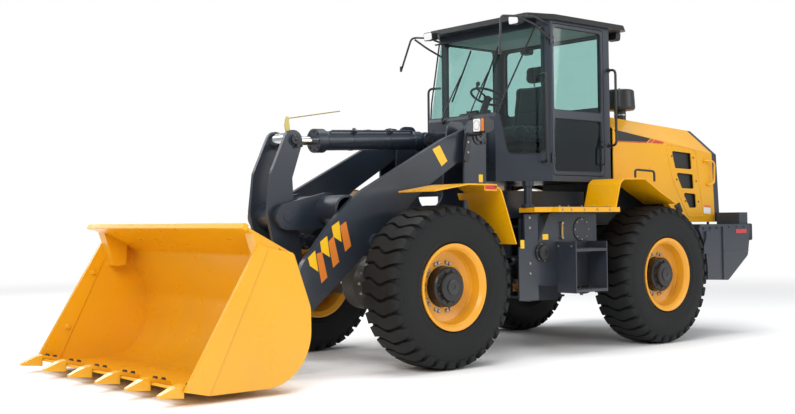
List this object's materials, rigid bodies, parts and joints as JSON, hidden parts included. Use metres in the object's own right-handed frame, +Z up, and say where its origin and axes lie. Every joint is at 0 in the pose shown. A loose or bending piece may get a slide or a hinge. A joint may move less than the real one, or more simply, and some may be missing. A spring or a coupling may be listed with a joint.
{
  "type": "articulated wheel loader",
  "caption": "Articulated wheel loader with a cab, tilting engine hood and a toothed bucket on a raised-bellcrank boom.",
  "frame": {"origin": "on the floor, under the middle of the whole length and width", "axes": "+X forward to the bucket, +Y to the driver's left, +Z up"},
  "size_m": [7.15, 2.48, 3.192],
  "materials": {
    "yellow_paint": "gloss enamel, worn at the edges",
    "navy_paint": "semi-gloss enamel",
    "rim_paint": "satin enamel",
    "tyre_rubber": "matt",
    "cast_steel": "painted casting",
    "bare_steel": "worn bare",
    "chrome_rod": "hard chrome",
    "cab_glass": "tinted",
    "black_plastic": "moulded",
    "seat_fabric": "woven"
  },
  "bodies": {
    "rear_frame": {"rear_frame": "navy_paint", "engine_block": "cast_steel", "counterweight": "navy_paint", "rear_axle": "cast_steel", "fuel_tank": "navy_paint", "hydraulic_tank": "navy_paint", "platform_left": "yellow_paint", "platform_right": "yellow_paint", "ladders": "navy_paint", "cab_base": "navy_paint", "rear_lamps": "black_plastic", "cab_frame": "navy_paint", "cab_glass": "cab_glass", "cab_roof": "navy_paint", "seat": "seat_fabric", "steering_column": "black_plastic"},
    "front_frame": {"front_frame": "navy_paint", "tower_left": "navy_paint", "tower_right": "navy_paint", "front_axle": "cast_steel", "front_fenders": "yellow_paint", "headlights": "black_plastic"},
    "boom": {"boom": "navy_paint"},
    "bucket": {"bucket": "yellow_paint", "bucket_teeth": "bare_steel"},
    "bellcrank": {"bellcrank": "navy_paint"},
    "bucket_link": {"bucket_link": "navy_paint"},
    "tilt_pin": {"tilt_pin": "bare_steel"},
    "tilt_barrel": {"tilt_barrel": "navy_paint"},
    "tilt_rod": {"tilt_rod": "chrome_rod"},
    "engine_hood": {"engine_hood": "yellow_paint", "rear_grille": "navy_paint", "precleaner": "black_plastic"},
    "door_left": {"door_left": "navy_paint", "door_glass_left": "cab_glass"},
    "lift_barrel_left": {"lift_barrel_left": "navy_paint"},
    "lift_rod_left": {"lift_rod_left": "chrome_rod"},
    "steering_barrel_left": {"steering_barrel_left": "navy_paint"},
    "steering_rod_left": {"steering_rod_left": "chrome_rod"},
    "wheel_front_left": {"tyre_front_left": "tyre_rubber", "rim_front_left": "rim_paint"},
    "wheel_rear_left": {"tyre_rear_left": "tyre_rubber", "rim_rear_left": "rim_paint"},
    "door_right": {"door_right": "navy_paint", "door_glass_right": "cab_glass"},
    "lift_barrel_right": {"lift_barrel_right": "navy_paint"},
    "lift_rod_right": {"lift_rod_right": "chrome_rod"},
    "steering_barrel_right": {"steering_barrel_right": "navy_paint"},
    "steering_rod_right": {"steering_rod_right": "chrome_rod"},
    "wheel_front_right": {"tyre_front_right": "tyre_rubber", "rim_front_right": "rim_paint"},
    "wheel_rear_right": {"tyre_rear_right": "tyre_rubber", "rim_rear_right": "rim_paint"}
  },
  "joints": [
    {"name": "articulation", "type": "hinge", "parent": "rear_frame", "child": "front_frame", "pos_m": [-0.565, 0, 0.8], "axis": [0, 0, 1], "range_deg": [-35, 35]},
    {"name": "wheel_front_left_spin", "type": "hinge", "parent": "front_frame", "child": "wheel_front_left", "pos_m": [0.87, 0.9325, 0.675], "axis": [0, 1, 0], "continuous": true},
    {"name": "wheel_front_right_spin", "type": "hinge", "parent": "front_frame", "child": "wheel_front_right", "pos_m": [0.87, -0.9325, 0.675], "axis": [0, 1, 0], "continuous": true},
    {"name": "wheel_rear_left_spin", "type": "hinge", "parent": "rear_frame", "child": "wheel_rear_left", "pos_m": [-2, 0.9325, 0.675], "axis": [0, 1, 0], "continuous": true},
    {"name": "wheel_rear_right_spin", "type": "hinge", "parent": "rear_frame", "child": "wheel_rear_right", "pos_m": [-2, -0.9325, 0.675], "axis": [0, 1, 0], "continuous": true},
    {"name": "boom_lift", "type": "hinge", "parent": "front_frame", "child": "boom", "pos_m": [0.055, 0, 1.98], "axis": [0, -1, 0], "range_deg": [-1.2, 76]},
    {"name": "bucket_tilt", "type": "hinge", "parent": "boom", "child": "bucket", "pos_m": [2.235, 0, 0.3], "axis": [0, 1, 0], "range_deg": [-45, 121]},
    {"name": "crank_turn", "type": "hinge", "parent": "boom", "child": "bellcrank", "pos_m": [1.88494, 0, 1.26288], "axis": [0, -1, 0], "range_deg": [-12.64, 32.51]},
    {"name": "link_turn", "type": "hinge", "parent": "bellcrank", "child": "bucket_link", "pos_m": [1.73499, 0, 0.49974], "axis": [0, 1, 0], "range_deg": [-33.6, 86.44]},
    {"name": "tilt_pin_turn", "type": "hinge", "parent": "front_frame", "child": "tilt_pin", "pos_m": [0.215, 0, 1.972], "axis": [0, -1, 0], "range_deg": [-2.93, 82.89]},
    {"name": "tilt_barrel_turn", "type": "hinge", "parent": "tilt_pin", "child": "tilt_barrel", "pos_m": [0.215, 0, 1.972], "axis": [0, -1, 0], "range_deg": [-5.92, 2.3]},
    {"name": "tilt_rod_slide", "type": "slide", "parent": "tilt_barrel", "child": "tilt_rod", "axis": [0.9991, 0, -0.0424], "range_m": [-0.19669, 0.07645]},
    {"name": "lift_barrel_left_turn", "type": "hinge", "parent": "front_frame", "child": "lift_barrel_left", "pos_m": [-0.145, 0.42, 0.95], "axis": [0, -1, 0], "range_deg": [-1.82, 51.39]},
    {"name": "lift_rod_left_slide", "type": "slide", "parent": "lift_barrel_left", "child": "lift_rod_left", "axis": [0.9978, 0, 0.0663], "range_m": [-0.03666, 1.03597]},
    {"name": "steering_barrel_left_turn", "type": "hinge", "parent": "rear_frame", "child": "steering_barrel_left", "pos_m": [-1.215, 0.35, 0.835], "axis": [0, 0, 1], "range_deg": [-9.39, 9.39]},
    {"name": "steering_rod_left_slide", "type": "slide", "parent": "steering_barrel_left", "child": "steering_rod_left", "axis": [1, 0, 0], "range_m": [-0.21666, 0.21666]},
    {"name": "door_left_swing", "type": "hinge", "parent": "rear_frame", "child": "door_left", "pos_m": [-0.76, 0.757, 2.17], "axis": [0, 0, -1], "range_deg": [0, 85]},
    {"name": "lift_barrel_right_turn", "type": "hinge", "parent": "front_frame", "child": "lift_barrel_right", "pos_m": [-0.145, -0.42, 0.95], "axis": [0, -1, 0], "range_deg": [-1.82, 51.39]},
    {"name": "lift_rod_right_slide", "type": "slide", "parent": "lift_barrel_right", "child": "lift_rod_right", "axis": [0.9978, 0, 0.0663], "range_m": [-0.03666, 1.03597]},
    {"name": "steering_barrel_right_turn", "type": "hinge", "parent": "rear_frame", "child": "steering_barrel_right", "pos_m": [-1.215, -0.35, 0.835], "axis": [0, 0, 1], "range_deg": [-9.39, 9.39]},
    {"name": "steering_rod_right_slide", "type": "slide", "parent": "steering_barrel_right", "child": "steering_rod_right", "axis": [1, 0, 0], "range_m": [-0.21666, 0.21666]},
    {"name": "door_right_swing", "type": "hinge", "parent": "rear_frame", "child": "door_right", "pos_m": [-0.76, -0.757, 2.17], "axis": [0, 0, 1], "range_deg": [0, 85]},
    {"name": "hood_lift", "type": "hinge", "parent": "rear_frame", "child": "engine_hood", "pos_m": [-3.455, 0, 1.215], "axis": [0, -1, 0], "range_deg": [0, 60]}
  ],
  "couplings": [
    {"joint": "crank_turn", "follows": "bucket_tilt", "ratio": 0.26149},
    {"joint": "link_turn", "follows": "bucket_tilt", "ratio": 0.69526},
    {"joint": "tilt_pin_turn", "follows": "boom_lift", "ratio": 1.069},
    {"joint": "tilt_barrel_turn", "follows": "bucket_tilt", "ratio": -0.047589},
    {"joint": "tilt_rod_slide", "follows": "bucket_tilt", "m_per_rad": -0.090648},
    {"joint": "lift_barrel_left_turn", "follows": "boom_lift", "ratio": 0.66273},
    {"joint": "lift_rod_left_slide", "follows": "boom_lift", "m_per_rad": 0.76546},
    {"joint": "steering_barrel_left_turn", "follows": "articulation", "ratio": 0.25802},
    {"joint": "steering_rod_left_slide", "follows": "articulation", "m_per_rad": -0.34104},
    {"joint": "lift_barrel_right_turn", "follows": "boom_lift", "ratio": 0.66273},
    {"joint": "lift_rod_right_slide", "follows": "boom_lift", "m_per_rad": 0.76546},
    {"joint": "steering_barrel_right_turn", "follows": "articulation", "ratio": 0.25802},
    {"joint": "steering_rod_right_slide", "follows": "articulation", "m_per_rad": 0.34104}
  ]
}
